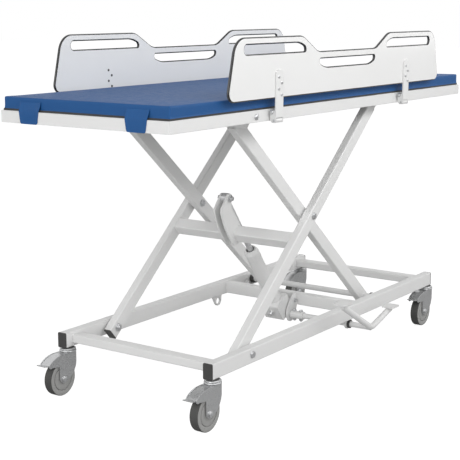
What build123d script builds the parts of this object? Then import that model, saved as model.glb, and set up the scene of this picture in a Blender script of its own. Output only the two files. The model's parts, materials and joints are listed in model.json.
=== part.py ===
from build123d import *
import math
import os

# Changing trolley, in millimetres. X runs from the foot end to the head end, Y to the left
# side and Z up from the floor. The foot pedal is on the right side, at negative Y.
SIDE_SHIFT = 29.5  # centres the pedal side and the plain side on the origin at export

# Lying surface
TOP_HALF_LENGTH = 950.0
TOP_HALF_WIDTH = 323.0
FRAME_BOTTOM = 915.6
FRAME_TOP = 952.2
FRAME_DEPTH = 34.0
CHANNEL_WALL = 3.0
CHANNEL_ROOF = 5.3
BOARD_TOP = 957.9
MATTRESS_TOP = 993.8
MATTRESS_HALF_LENGTH = 940.5
MATTRESS_HALF_WIDTH = 318.0
STRAP_OFFSET = 206.0
STRAP_THICK = 2.5

# Chassis
TUBE_START = -736.5
TUBE_END = 764.5
TUBE_INNER = 279.0
TUBE_OUTER = 313.0
TUBE_BOTTOM = 156.7
TUBE_TOP = 207.3
TUBE_WALL = 2.5
CROSS_BOTTOM = 168.5
CROSS_TOP = 197.0
TUBE_MIDDLE = (TUBE_INNER + TUBE_OUTER) / 2
TRACK_START = 304.0
TRACK_END = 640.0

# Scissor linkage: fixed pivots at the foot end, rollers at the head end
PIVOT_X = -523.0
PIVOT_LOW = 186.0
CENTRE_X = -85.5
CENTRE_Z = 559.35
HALF_ARM = math.hypot(CENTRE_X - PIVOT_X, CENTRE_Z - PIVOT_LOW)
ARM_ANGLE = math.degrees(math.atan2(CENTRE_Z - PIVOT_LOW, CENTRE_X - PIVOT_X))
PIVOT_HIGH = 2 * CENTRE_Z - PIVOT_LOW
ROLLER_X = 2 * CENTRE_X - PIVOT_X
ARM_DEPTH = 46.6
ARM_WALL = 3.0
OUTER_ARM = (240.0, 269.0)
INNER_ARM = (203.0, 232.0)
BOLT_RADIUS = 8.0
RUNNING = 0.06
ROLLER_RADIUS = 16.0

# Ram, pump and pedal
HORN_ALONG = -69.5
HORN_UP = 132.0
SHAFT_X = 130.0
SHAFT_Z = 135.0
SHAFT_RADIUS = 10.0
BARREL_RADIUS = 26.5
BARREL_BORE = 18.0
BARREL_TOP = 340.0
ROD_RADIUS = 10.4
ROD_LENGTH = 285.0
LEVER_Y = -385.0

# Side rails
RAIL_OUTER = 344.5
RAIL_INNER = 335.0
BRACKET_X = 428.0
BRACKET_SHIFT = -3.5
BRACKET_HALF = 21.0
HINGE_Y = 341.0
HINGE_Z = 917.0

# Casters, about the swivel axis
CASTER_X = {"foot": -713.0, "head": 757.0}
TRAIL = -42.0
WHEEL_RADIUS = 58.0
RIM_RADIUS = 53.4
AXLE_RADIUS = 6.0


def block(x0, x1, y0, y1, z0, z1):
    middle = Pos((x0 + x1) / 2, (y0 + y1) / 2, (z0 + z1) / 2)
    return middle * Box(abs(x1 - x0), abs(y1 - y0), abs(z1 - z0))


def bar_along_y(x, z, radius, y0, y1):
    return Pos(x, (y0 + y1) / 2, z) * Rot(90, 0, 0) * Cylinder(radius, y1 - y0)


def bar_along_x(y, z, radius, x0, x1):
    return Pos((x0 + x1) / 2, y, z) * Rot(0, 90, 0) * Cylinder(radius, x1 - x0)


def bar_upright(x, y, radius, z0, z1):
    return Pos(x, y, (z0 + z1) / 2) * Cylinder(radius, z1 - z0)


def side_plate(outline, y0, y1):
    # A flat plate whose outline is drawn in X and Z
    placed = Plane(origin=(0, y1, 0), x_dir=(1, 0, 0), z_dir=(0, -1, 0)) * outline
    return extrude(placed, y1 - y0, dir=(0, -1, 0))


def polygon(points):
    return make_face(Polyline(*points, close=True))


def both_sides(right):
    # The right-hand piece and its mirror image, as two separate solids
    return Compound(right.solids() + left_of(right).solids())


def left_of(right):
    return mirror(right, about=Plane.XZ)


def hollow_tube(x0, x1, y0, y1, z0, z1, wall, axis):
    # A rectangular tube, open at both ends, with rounded long edges
    outside = block(x0, x1, y0, y1, z0, z1)
    outside = fillet(outside.edges().filter_by(axis), 4)
    if axis == Axis.X:
        inside = block(x0 - 1, x1 + 1, y0 + wall, y1 - wall, z0 + wall, z1 - wall)
    else:
        inside = block(x0 + wall, x1 - wall, y0 - 1, y1 + 1, z0 + wall, z1 - wall)
    return outside - inside


def rising(shape):
    # From the frame of an outer arm, centred on the middle pivot, to the trolley's frame
    return Pos(CENTRE_X, 0, CENTRE_Z) * Rot(0, -ARM_ANGLE, 0) * shape


def falling(shape):
    # From the frame of an inner arm, whose positive X points down to the rollers
    return Pos(CENTRE_X, 0, CENTRE_Z) * Rot(0, ARM_ANGLE, 0) * shape


# Chassis


def base_tube_right():
    tube = hollow_tube(
        TUBE_START, TUBE_END, -TUBE_OUTER, -TUBE_INNER, TUBE_BOTTOM, TUBE_TOP, TUBE_WALL, Axis.X
    )
    tube -= bar_along_y(PIVOT_X, PIVOT_LOW, BOLT_RADIUS, -TUBE_OUTER - 1, -TUBE_INNER + 1)
    for x in CASTER_X.values():
        tube -= bar_upright(x, -TUBE_MIDDLE, 6, TUBE_BOTTOM - 1, TUBE_BOTTOM + 6)
    return tube


def base_cross_foot():
    return hollow_tube(-707, -662, -TUBE_INNER, TUBE_INNER, CROSS_BOTTOM, CROSS_TOP, TUBE_WALL, Axis.Y)


def base_cross_head():
    return hollow_tube(693, 738, -TUBE_INNER, TUBE_INNER, CROSS_BOTTOM, CROSS_TOP, TUBE_WALL, Axis.Y)


def base_cross_middle():
    return hollow_tube(170, 204, -TUBE_INNER, TUBE_INNER, 161, 204.6, TUBE_WALL, Axis.Y)


def base_end_cap(x, outward):
    # Plastic cap over the whole end of a base tube, with a shallow spigot that centres it
    plate = block(x, x + 4 * outward, -TUBE_OUTER, -TUBE_INNER, TUBE_BOTTOM, TUBE_TOP)
    plate = fillet(plate.edges().filter_by(Axis.X), 4)
    spigot = block(
        x,
        x - 1.2 * outward,
        -TUBE_OUTER + TUBE_WALL,
        -TUBE_INNER - TUBE_WALL,
        TUBE_BOTTOM + TUBE_WALL,
        TUBE_TOP - TUBE_WALL,
    )
    return plate + spigot


def base_end_caps():
    foot = base_end_cap(TUBE_START, -1)
    head = base_end_cap(TUBE_END, 1)
    return both_sides(Compound(foot.solids() + head.solids()))


def roller_track():
    # Ledge on the inner face of a base tube that a lower roller runs on, with a stop at each end
    top = PIVOT_LOW - ROLLER_RADIUS - 0.3
    track = block(TRACK_START, TRACK_END, -TUBE_INNER, -260, top - 3, top)
    for x in (TRACK_START, TRACK_END - 4):
        track += block(x, x + 4, -TUBE_INNER, -260, top - 3, top + 16)
    return track


def pump_cheek():
    outer_edge = [(170, 208), (150, 208), (124, 184), (104, 152), (104, 136)]
    lower_edge = [(112, 114), (126, 106), (148, 110), (170, 156)]
    outline = polygon(outer_edge + lower_edge)
    outline = fillet(outline.vertices().filter_by_position(Axis.X, 100, 130), 10)
    cheek = side_plate(outline, -48, -42)
    return cheek - bar_along_y(SHAFT_X, SHAFT_Z, SHAFT_RADIUS + RUNNING, -50, -40)


def pedal_hanger():
    outline = polygon(
        [(95, TUBE_BOTTOM), (152, TUBE_BOTTOM), (149, 130), (138, 118), (122, 118), (111, 128)]
    )
    outline = fillet(outline.vertices().filter_by_position(Axis.Y, 110, 140), 6)
    hanger = side_plate(outline, -293, -285)
    return hanger - bar_along_y(SHAFT_X, SHAFT_Z, 13.5, -295, -283)


def pedal_bush():
    bush = bar_along_y(SHAFT_X, SHAFT_Z, 13.5, -301, -281)
    bush += bar_along_y(SHAFT_X, SHAFT_Z, 15.5, -301, -293)
    return bush - bar_along_y(SHAFT_X, SHAFT_Z, SHAFT_RADIUS + RUNNING, -303, -279)


def base_pivot_bolt():
    # Head outside the base tube, a spacer between tube and arm, and a nut inside the arm
    bolt = bar_along_y(PIVOT_X, PIVOT_LOW, BOLT_RADIUS, -TUBE_OUTER, -228)
    bolt += bar_along_y(PIVOT_X, PIVOT_LOW, 12, -TUBE_OUTER - 6, -TUBE_OUTER)
    bolt += bar_along_y(PIVOT_X, PIVOT_LOW, 16, -TUBE_INNER, -OUTER_ARM[1] - 0.4)
    bolt += bar_along_y(PIVOT_X, PIVOT_LOW, 12, -OUTER_ARM[0] + 0.4, -228)
    return bolt


def caster_head(x, y):
    head = Pos(x, y, 147) * Cylinder(28, 12)
    head = fillet(head.edges().sort_by(Axis.Z)[-1], 5)
    head += bar_upright(x, y, 20, 153, TUBE_BOTTOM)
    head += bar_upright(x, y, 6, TUBE_BOTTOM, 190)
    head += bar_upright(x, y, 8, 129, 141)
    head += bar_upright(x, y, 11, 129, 134.2)
    return head


def caster_heads():
    heads = [caster_head(x, -TUBE_MIDDLE).solid() for x in CASTER_X.values()]
    return both_sides(Compound(heads))


# Scissor arms


def arm_tube(start, end, sides):
    tube = block(start, end, -sides[1], -sides[0], -ARM_DEPTH / 2, ARM_DEPTH / 2)
    return fillet(tube.edges().filter_by(Axis.X), 4)


def arm_hollow(start, end, sides):
    reach = ARM_DEPTH / 2 - ARM_WALL
    return block(start, end, -sides[1] + ARM_WALL, -sides[0] - ARM_WALL, -reach, reach)


def arm_tongue(pivot, back, sides):
    # Narrow rounded end that lets the pivot sit close under the board
    tongue = bar_along_y(pivot, 0, 16, -sides[1], -sides[0])
    tongue += block(min(pivot, back), max(pivot, back), -sides[1], -sides[0], -16, 16)
    return tongue


def outer_arm_right():
    tube = arm_tube(-HALF_ARM - 31, HALF_ARM - 40, OUTER_ARM)
    tube -= arm_hollow(-HALF_ARM - 35, HALF_ARM - 44, OUTER_ARM)
    tube += arm_tongue(HALF_ARM, HALF_ARM - 42, OUTER_ARM)
    tube += bar_along_y(HALF_ARM, 0, BOLT_RADIUS, -317.5, -OUTER_ARM[1])
    for pivot in (-HALF_ARM, 0):
        tube += bar_along_y(pivot, 0, 15, -OUTER_ARM[1], -OUTER_ARM[0])
        tube -= bar_along_y(pivot, 0, BOLT_RADIUS + RUNNING, -OUTER_ARM[1] - 1, -OUTER_ARM[0] + 1)
    return rising(tube)


def outer_arm_cap():
    cap = arm_tube(-HALF_ARM - 34, -HALF_ARM - 31, OUTER_ARM)
    cap += arm_hollow(-HALF_ARM - 31, -HALF_ARM - 23, OUTER_ARM)
    return rising(cap)


def horn_outline():
    heel = ThreePointArc((-139, -25), (-155, -20), (-161, -6))
    back = Spline((-161, -6), (-158, 40), (-150, 88), (-139, 122))
    shoulder = ThreePointArc((-139, 122), (-132, 135.5), (-118, 142))
    crown = Line((-118, 142), (-78, 148.5))
    eye = ThreePointArc((-78, 148.5), (-57, 143), (-56, 123))
    nose = Spline((-56, 123), (-74, 112), (-83, 90))
    front = Polyline((-83, 90), (-86, 6), (-98, -26), (-139, -25))
    return make_face([heel, back, shoulder, crown, eye, nose, front])


def lift_bar():
    # Square cross bar between the outer arms with the two horn plates welded on
    bar = hollow_tube(-137.5, -94.5, -OUTER_ARM[0], OUTER_ARM[0], -21.5, 21.5, 3, Axis.Y)
    for y0 in (-17, 11):
        horn = side_plate(horn_outline(), y0, y0 + 6)
        horn -= bar_along_y(HORN_ALONG, HORN_UP, BOLT_RADIUS, y0 - 1, y0 + 7)
        bar += horn - block(-137.5, -94.5, y0 - 1, y0 + 7, -21.5, 21.5)
    return rising(bar)


def horn_pin():
    pin = bar_along_y(HORN_ALONG, HORN_UP, BOLT_RADIUS, -30, 30)
    pin += bar_along_y(HORN_ALONG, HORN_UP, 12, -22, -17)
    pin += bar_along_y(HORN_ALONG, HORN_UP, 12, 17, 22)
    return rising(pin)


def upper_roller():
    roller = bar_along_y(ROLLER_X, PIVOT_HIGH, 13.85, -317, -293)
    return roller - bar_along_y(ROLLER_X, PIVOT_HIGH, BOLT_RADIUS + RUNNING, -318, -292)


def inner_arm_right():
    tube = arm_tube(-HALF_ARM + 40, HALF_ARM + 30, INNER_ARM)
    tube -= arm_hollow(-HALF_ARM + 44, HALF_ARM + 26, INNER_ARM)
    tube += arm_tongue(-HALF_ARM, -HALF_ARM + 42, INNER_ARM)
    tube += bar_along_y(0, 0, 15, -INNER_ARM[1], -INNER_ARM[0])
    tube += bar_along_y(HALF_ARM, 0, 15, -INNER_ARM[1], -INNER_ARM[0])
    tube -= bar_along_y(0, 0, BOLT_RADIUS, -INNER_ARM[1] - 1, -INNER_ARM[0] + 1)
    tube -= bar_along_y(-HALF_ARM, 0, BOLT_RADIUS + RUNNING, -INNER_ARM[1] - 1, -INNER_ARM[0] + 1)
    tube -= bar_along_y(HALF_ARM, 0, 10.8, -INNER_ARM[1] - 1, -INNER_ARM[0] + 1)
    return falling(tube)


def inner_arm_tie():
    # Flat bar between the inner arms and a stub outside each arm, all close under the pivots
    near = 14 - HALF_ARM
    bar = block(near, near + 20, -INNER_ARM[0], INNER_ARM[0], -2, 20)
    stub = block(near, near + 29, -275, -INNER_ARM[1], -17.5, 20)
    return falling(Compound(bar.solids() + both_sides(stub).solids()))


def lower_axle():
    return bar_along_y(ROLLER_X, PIVOT_LOW, 10.8, -278, 278)


def lower_roller():
    roller = bar_along_y(ROLLER_X, PIVOT_LOW, ROLLER_RADIUS, -277, -262)
    return roller - bar_along_y(ROLLER_X, PIVOT_LOW, 10.8 + RUNNING, -278, -261)


def centre_pivot_bolt():
    bolt = bar_along_y(CENTRE_X, CENTRE_Z, BOLT_RADIUS, -OUTER_ARM[1] - 6, -194)
    bolt += bar_along_y(CENTRE_X, CENTRE_Z, 12, -OUTER_ARM[1] - 6, -OUTER_ARM[1] - 0.4)
    bolt += bar_along_y(CENTRE_X, CENTRE_Z, 16, -OUTER_ARM[0] + 0.4, -INNER_ARM[1])
    bolt += bar_along_y(CENTRE_X, CENTRE_Z, 12, -INNER_ARM[0], -194)
    return bolt


# Lying surface


def top_side_right():
    # Channel open towards the middle, in which the upper rollers run
    end = TOP_HALF_LENGTH - FRAME_DEPTH
    inner = FRAME_DEPTH - TOP_HALF_WIDTH
    side = block(-end, end, -TOP_HALF_WIDTH, inner, FRAME_BOTTOM, FRAME_TOP)
    side -= block(
        -end - 1,
        end + 1,
        -TOP_HALF_WIDTH + CHANNEL_WALL,
        inner + 1,
        FRAME_BOTTOM + CHANNEL_WALL,
        FRAME_TOP - CHANNEL_ROOF,
    )
    return side - bar_along_y(PIVOT_X, PIVOT_HIGH, BOLT_RADIUS, -TOP_HALF_WIDTH - 1, -TOP_HALF_WIDTH + 4)


def top_end_foot():
    # Closed box section across the end, over the ends of both sides
    inner = FRAME_DEPTH - TOP_HALF_LENGTH
    end = block(-TOP_HALF_LENGTH, inner, -TOP_HALF_WIDTH, TOP_HALF_WIDTH, FRAME_BOTTOM, FRAME_TOP)
    end = fillet(end.edges().filter_by(Axis.Z).group_by(Axis.X)[0], 2)
    wall = CHANNEL_WALL
    return end - block(
        -TOP_HALF_LENGTH + wall,
        inner - wall,
        -TOP_HALF_WIDTH + 14,
        TOP_HALF_WIDTH - 14,
        FRAME_BOTTOM + wall,
        FRAME_TOP - wall,
    )


def deck_board():
    board = block(-944, 944, -318, 318, FRAME_TOP, BOARD_TOP)
    return fillet(board.edges().filter_by(Axis.Z), 2)


def mattress():
    pad = block(
        -MATTRESS_HALF_LENGTH,
        MATTRESS_HALF_LENGTH,
        -MATTRESS_HALF_WIDTH,
        MATTRESS_HALF_WIDTH,
        BOARD_TOP,
        MATTRESS_TOP,
    )
    pad = fillet(pad.edges().filter_by(Axis.Z), 5)
    return fillet(pad.faces().sort_by(Axis.Z)[-1].edges(), 4.5)


def mattress_strap():
    # Tapered strap from the mattress end, over the end of the frame
    face = polygon([(-42, 978), (42, 978), (40, 952), (34, 915), (-34, 915), (-40, 952)])
    start = -TOP_HALF_LENGTH - 0.3
    placed = Plane(origin=(start, -STRAP_OFFSET, 0), x_dir=(0, 1, 0), z_dir=(1, 0, 0)) * face
    strap = extrude(placed, STRAP_THICK, dir=(-1, 0, 0))
    low = -STRAP_OFFSET - 42
    strap += block(start, -MATTRESS_HALF_LENGTH, low, low + 84, 975.5, 978)
    return strap


def mattress_straps():
    foot = mattress_strap()
    head = mirror(foot, about=Plane.YZ)
    return both_sides(Compound(foot.solids() + head.solids()))


def rail_hinge_lug(x):
    start = x + BRACKET_SHIFT - BRACKET_HALF + 4.3
    end = x + BRACKET_SHIFT + BRACKET_HALF - 4.3
    lug = block(start, end, -TOP_HALF_WIDTH - 2, -TOP_HALF_WIDTH, FRAME_BOTTOM, FRAME_TOP)
    lug += block(start, end, -HINGE_Y, -TOP_HALF_WIDTH, HINGE_Z - 1.4, HINGE_Z + 5)
    lug += bar_along_x(-HINGE_Y, HINGE_Z, 7.4, start, end)
    return lug - bar_along_x(-HINGE_Y, HINGE_Z, 4 + RUNNING, start - 1, end + 1)


def rail_hinge_lugs():
    return both_sides(Compound([rail_hinge_lug(x).solid() for x in (-BRACKET_X, BRACKET_X)]))


def top_pivot_bolt():
    # Head outside the channel, a long spacer, the inner arm, and a nut
    bolt = bar_along_y(PIVOT_X, PIVOT_HIGH, BOLT_RADIUS, -TOP_HALF_WIDTH, -194)
    bolt += bar_along_y(PIVOT_X, PIVOT_HIGH, 12, -TOP_HALF_WIDTH - 6, -TOP_HALF_WIDTH)
    bolt += bar_along_y(PIVOT_X, PIVOT_HIGH, 13, -TOP_HALF_WIDTH + CHANNEL_WALL, -INNER_ARM[1] - 0.4)
    bolt += bar_along_y(PIVOT_X, PIVOT_HIGH, 12, -INNER_ARM[0] + 0.4, -194)
    return bolt


# Folding side rails


def rail_profile():
    # Two humps with a dip between them; the ends lean in towards the top
    right = [(194, 1120), (289, 1172), (661, 1172), (706, 984.5)]
    left = [(-x, z) for x, z in reversed(right)]
    face = polygon(left + right)
    face = fillet([v for v in face.vertices() if abs(v.X) > 700], 28)
    face = fillet([v for v in face.vertices() if abs(abs(v.X) - 661) < 1], 60)
    return fillet([v for v in face.vertices() if abs(v.X) < 300 and v.Y > 1100], 75)


def rail_slot(x0, x1, z0, z1, large):
    # A hand slot with one or two large corners, the rest small
    slot = polygon([(x0, z0), (x1, z0), (x1, z1), (x0, z1)])
    big = [v for v in slot.vertices() if any(math.dist((v.X, v.Y), c) < 1 for c in large)]
    slot = fillet(big, 23)
    rest = [
        v
        for v in slot.vertices()
        if any(math.dist((v.X, v.Y), c) < 1 for c in ((x0, z0), (x1, z0), (x1, z1), (x0, z1)))
    ]
    return fillet(rest, 10)


def screw_places(x):
    heights = (1049.5, 1031.5, 1013.4, 995.0)
    return [(x + (8 if i % 2 else -8), z) for i, z in enumerate(heights)]


def rail_panel_right():
    face = rail_profile()
    face -= rail_slot(275, 618, 1119, 1152.5, [(275, 1152.5)])
    face -= rail_slot(-618, -275, 1119, 1152.5, [(-275, 1152.5)])
    face -= rail_slot(-186, 186, 1064.5, 1098.5, [(-186, 1064.5), (186, 1064.5)])
    panel = side_plate(face, -RAIL_OUTER, -RAIL_INNER)
    panel = fillet(panel.faces().filter_by(Axis.Y).edges(), 4)
    for x in (-BRACKET_X, BRACKET_X):
        for place in screw_places(x):
            panel -= bar_along_y(place[0], place[1], 3, -RAIL_OUTER - 1, -RAIL_OUTER + 7)
    return panel


def bracket_ear(start):
    # Side ear, drawn in Y and Z; its foot is rounded so that it clears the frame as it turns
    front = -RAIL_OUTER - 4
    foot = HINGE_Z - 7.5
    top = HINGE_Z + 31
    outline = polygon([(front, top), (-327, top), (-327, HINGE_Z + 1), (-334, foot), (front, foot)])
    outline = fillet([v for v in outline.vertices() if v.Y < HINGE_Z + 5], 4)
    placed = Plane(origin=(start, 0, 0), x_dir=(0, 1, 0), z_dir=(1, 0, 0)) * outline
    return extrude(placed, 4, dir=(1, 0, 0))


def rail_bracket(x):
    # Strap on the panel's outer face, with two ears at its foot for the hinge pin
    start = x + BRACKET_SHIFT - BRACKET_HALF
    end = x + BRACKET_SHIFT + BRACKET_HALF
    strap = block(start, end, -RAIL_OUTER - 4, -RAIL_OUTER, HINGE_Z + 8, 1071)
    strap = fillet(strap.edges().filter_by(Axis.Y).group_by(Axis.Z)[-1], 15)
    for ear in (start, end - 4):
        strap += bracket_ear(ear)
    strap -= bar_along_x(-HINGE_Y, HINGE_Z, 4, start - 1, end + 1)
    strap -= bar_along_x(-333, 942, 4, start - 1, end + 1)
    for place in screw_places(x):
        strap -= bar_along_y(place[0], place[1], 3, -RAIL_OUTER - 5, -RAIL_OUTER + 1)
    return strap


def rail_fasteners_right():
    pieces = []
    for x in (-BRACKET_X, BRACKET_X):
        start = x + BRACKET_SHIFT - BRACKET_HALF
        end = x + BRACKET_SHIFT + BRACKET_HALF
        pin = bar_along_x(-HINGE_Y, HINGE_Z, 4, start - 1.5, end + 1.5)
        stop = bar_along_x(-333, 942, 4, start, end + 3.5)
        stop += bar_along_x(-333, 942, 6.5, start - 5.5, start)
        pieces += [pin, stop]
        for place in screw_places(x):
            screw = bar_along_y(place[0], place[1], 3, -RAIL_OUTER - 4, -RAIL_OUTER + 7)
            screw += bar_along_y(place[0], place[1], 5.5, -RAIL_OUTER - 6.5, -RAIL_OUTER - 4)
            pieces.append(screw)
    return Compound([piece.solid() for piece in pieces])


# Ram, pump and pedal


def horn_pin_place():
    angle = math.radians(ARM_ANGLE)
    x = CENTRE_X + HORN_ALONG * math.cos(angle) - HORN_UP * math.sin(angle)
    z = CENTRE_Z + HORN_ALONG * math.sin(angle) + HORN_UP * math.cos(angle)
    return x, z


def ram_angle():
    x, z = horn_pin_place()
    return math.degrees(math.atan2(z - SHAFT_Z, SHAFT_X - x))


def from_shaft(shape):
    # From a frame whose X runs from the pedal shaft up the ram
    return Pos(SHAFT_X, 0, SHAFT_Z) * Rot(0, ram_angle() - 180, 0) * shape


def pump_barrel():
    # Tube with a tapered mouth
    barrel = bar_along_x(0, 0, BARREL_RADIUS, 66, BARREL_TOP)
    mouth = barrel.edges().sort_by(Axis.X)[-1]
    barrel = chamfer(mouth, 14, 6, reference=barrel.faces().filter_by(GeomType.CYLINDER)[0])
    barrel -= bar_along_x(0, 0, BARREL_BORE, 74, BARREL_TOP + 1)
    return from_shaft(barrel)


def pump_block():
    # Casting in line with the barrel, hung on the pedal shaft by an eye, with a filler plug
    body = block(4, 78, -38, 38, -34, 42)
    body = fillet(body.edges().filter_by(Axis.Y), 8)
    body += bar_along_y(0, 0, 18, -38, 38)
    body += Pos(52, -4, 51) * Cylinder(9, 20)
    body -= bar_along_y(0, 0, SHAFT_RADIUS + RUNNING, -40, 40)
    body -= bar_along_x(0, 0, BARREL_RADIUS, 66, BARREL_TOP)
    return from_shaft(body)


def ram_rod():
    x, z = horn_pin_place()
    rod = bar_along_x(0, 0, ROD_RADIUS, 8, ROD_LENGTH)
    rod += bar_along_y(0, 0, 18, -10.5, 10.5)
    rod -= bar_along_y(0, 0, BOLT_RADIUS + RUNNING, -14, 14)
    return Pos(x, 0, z) * Rot(0, ram_angle(), 0) * rod


def pedal_shaft():
    shaft = bar_along_y(SHAFT_X, SHAFT_Z, SHAFT_RADIUS, LEVER_Y + 15, 52)
    shaft += bar_along_y(SHAFT_X, SHAFT_Z, 14.5, -104, -52)
    return shaft


def pedal_lever():
    # One bent bar, welded to the end of the shaft: a long arm for pumping and a short one for
    # release, each with a foot plate
    route = FilletPolyline((-84, 258), (SHAFT_X, SHAFT_Z), (272, 176), radius=45)
    route = Pos(0, LEVER_Y, 0) * (Plane.XZ * route)
    section = Plane(origin=route @ 0, z_dir=route % 0) * Circle(10.5)
    lever = sweep(section, path=route)
    lever += bar_along_y(SHAFT_X, SHAFT_Z, SHAFT_RADIUS, LEVER_Y, LEVER_Y + 15)
    for x, z in ((-87, 271), (273, 186.5)):
        plate = block(x - 28.5, x + 28.5, LEVER_Y - 25, LEVER_Y + 21, z - 5, z)
        lever += fillet(plate.edges().filter_by(Axis.Z), 4)
    return lever


# Casters, drawn with the swivel axis at the origin and trailing towards the foot end


def fork_wing():
    outline = [
        Polyline((-48, 140.5), (18, 140.5), (18, 104)),
        ThreePointArc((18, 104), (3, 69), (-30, 46)),
        ThreePointArc((-30, 46), (-52, 47), (-61, 62.5)),
        Polyline((-61, 62.5), (-62, 103), (-96, 107.5)),
        ThreePointArc((-96, 107.5), (-110, 115), (-106, 122.5)),
        ThreePointArc((-106, 122.5), (-79, 136), (-48, 140.5)),
    ]
    wing = side_plate(make_face(outline), -20.5, -17.5)
    return wing - bar_along_y(-62, 127, 4 + RUNNING, -22, -16)


def caster_fork():
    wing = fork_wing()
    fork = wing + mirror(wing, about=Plane.XZ)
    fork += block(-34, 18, -17.5, 17.5, 134.5, 140.5)
    fork -= bar_upright(0, 0, 8 + RUNNING, 134, 141)
    fork += bar_along_y(TRAIL, WHEEL_RADIUS, AXLE_RADIUS, -20.5, 20.5)
    fork += bar_along_y(TRAIL, WHEEL_RADIUS, 9, -25, -20.5)
    fork += bar_along_y(TRAIL, WHEEL_RADIUS, 9, 20.5, 25)
    return fork


def caster_brake():
    # Curved foot lever between the fork wings, on its own cross pin
    outline = [
        ThreePointArc((-36, 139.5), (-78, 134), (-110, 117)),
        Polyline((-110, 117), (-130, 121), (-130, 118), (-110, 113.6)),
        ThreePointArc((-110, 113.6), (-78, 130.8), (-36, 136.5)),
        Line((-36, 136.5), (-36, 139.5)),
    ]
    lever = side_plate(make_face(outline), -17, 17)
    lever += bar_along_y(-62, 127, 7, -17, 17)
    lever += block(-66, -58, -17, 17, 127, 135)
    return lever + bar_along_y(-62, 127, 4, -20.5, 20.5)


def wheel_disc(radius, half_width):
    return bar_along_y(TRAIL, WHEEL_RADIUS, radius, -half_width, half_width)


def wheel_hub():
    # Solid moulded centre with a ring groove in each face
    hub = wheel_disc(RIM_RADIUS, 13.5)
    for y in (-13.5, 13.5):
        groove = bar_along_y(TRAIL, WHEEL_RADIUS, 40, y - 2.5, y + 2.5)
        hub -= groove - wheel_disc(37, 17)
    hub += wheel_disc(14, 16.5)
    return hub - wheel_disc(AXLE_RADIUS + RUNNING, 20)


def wheel_tread():
    tread = fillet(wheel_disc(WHEEL_RADIUS, 15).edges(), 3)
    tread -= wheel_disc(RIM_RADIUS, 16)
    for y in (-5, 5):
        groove = bar_along_y(TRAIL, WHEEL_RADIUS, WHEEL_RADIUS + 1, y - 1, y + 1)
        tread -= groove - wheel_disc(WHEEL_RADIUS - 1.5, 8)
    return tread


def write(name, shape):
    solids = [Pos(0, SIDE_SHIFT, 0) * solid for solid in shape.solids()]
    placed = solids[0] if len(solids) == 1 else Compound(solids)
    export_step(placed, f"parts/{name}.step")


def write_pair(name, right):
    write(f"{name}_right", right)
    write(f"{name}_left", left_of(right))


def write_casters():
    pieces = {
        "caster_fork": caster_fork(),
        "caster_brake": caster_brake(),
        "caster_hub": wheel_hub(),
        "caster_tread": wheel_tread(),
    }
    for end, x in CASTER_X.items():
        for side, y in (("right", -TUBE_MIDDLE), ("left", TUBE_MIDDLE)):
            for name, shape in pieces.items():
                write(f"{name}_{end}_{side}", Pos(x, y, 0) * shape)


def write_chassis():
    write_pair("base_tube", base_tube_right())
    write("base_cross_foot", base_cross_foot())
    write("base_cross_head", base_cross_head())
    write("base_cross_middle", base_cross_middle())
    write("base_end_caps", base_end_caps())
    write("roller_tracks", both_sides(roller_track()))
    write("pump_bracket", both_sides(pump_cheek()))
    write("pedal_hangers", both_sides(pedal_hanger()))
    write("pedal_bush", pedal_bush())
    write("base_pivot_bolts", both_sides(base_pivot_bolt()))
    write("caster_heads", caster_heads())


def write_arms():
    write_pair("outer_arm", outer_arm_right())
    write("outer_arm_caps", both_sides(outer_arm_cap()))
    write("lift_bar", lift_bar())
    write("horn_pin", horn_pin())
    write("upper_rollers", both_sides(upper_roller()))
    write_pair("inner_arm", inner_arm_right())
    write("inner_arm_tie", inner_arm_tie())
    write("lower_axle", lower_axle())
    write("lower_rollers", both_sides(lower_roller()))
    write("centre_pivot_bolts", both_sides(centre_pivot_bolt()))


def write_top():
    write_pair("top_side", top_side_right())
    write("top_end_foot", top_end_foot())
    write("top_end_head", mirror(top_end_foot(), about=Plane.YZ))
    write("deck_board", deck_board())
    write("mattress", mattress())
    write("mattress_straps", mattress_straps())
    write("rail_hinge_lugs", rail_hinge_lugs())
    write("top_pivot_bolts", both_sides(top_pivot_bolt()))


def write_rails():
    brackets = Compound([rail_bracket(x).solid() for x in (-BRACKET_X, BRACKET_X)])
    write_pair("rail_panel", rail_panel_right())
    write_pair("rail_brackets", brackets)
    write_pair("rail_fasteners", rail_fasteners_right())


def write_drive():
    write("pump_barrel", pump_barrel())
    write("pump_block", pump_block())
    write("ram_rod", ram_rod())
    write("pedal_shaft", pedal_shaft())
    write("pedal_lever", pedal_lever())


os.makedirs("parts", exist_ok=True)
write_chassis()
write_arms()
write_top()
write_rails()
write_drive()
write_casters()
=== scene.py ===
import json
import math

import bmesh
import bpy
import numpy as np
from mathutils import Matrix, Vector


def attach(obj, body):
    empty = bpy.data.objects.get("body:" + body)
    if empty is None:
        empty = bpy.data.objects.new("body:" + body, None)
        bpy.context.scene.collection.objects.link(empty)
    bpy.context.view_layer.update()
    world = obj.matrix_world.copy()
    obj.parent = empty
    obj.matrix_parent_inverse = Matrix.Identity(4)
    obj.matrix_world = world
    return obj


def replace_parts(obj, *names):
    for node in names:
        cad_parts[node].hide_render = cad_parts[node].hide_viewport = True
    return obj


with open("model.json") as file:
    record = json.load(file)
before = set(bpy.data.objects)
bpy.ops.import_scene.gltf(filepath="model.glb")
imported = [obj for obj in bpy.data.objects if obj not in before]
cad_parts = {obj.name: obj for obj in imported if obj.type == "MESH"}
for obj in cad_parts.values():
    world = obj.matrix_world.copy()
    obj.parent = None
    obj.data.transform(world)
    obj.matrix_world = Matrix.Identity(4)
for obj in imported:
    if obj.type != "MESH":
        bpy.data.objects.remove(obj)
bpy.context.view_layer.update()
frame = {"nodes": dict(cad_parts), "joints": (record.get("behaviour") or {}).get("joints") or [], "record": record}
scene = bpy.context.scene

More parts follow.
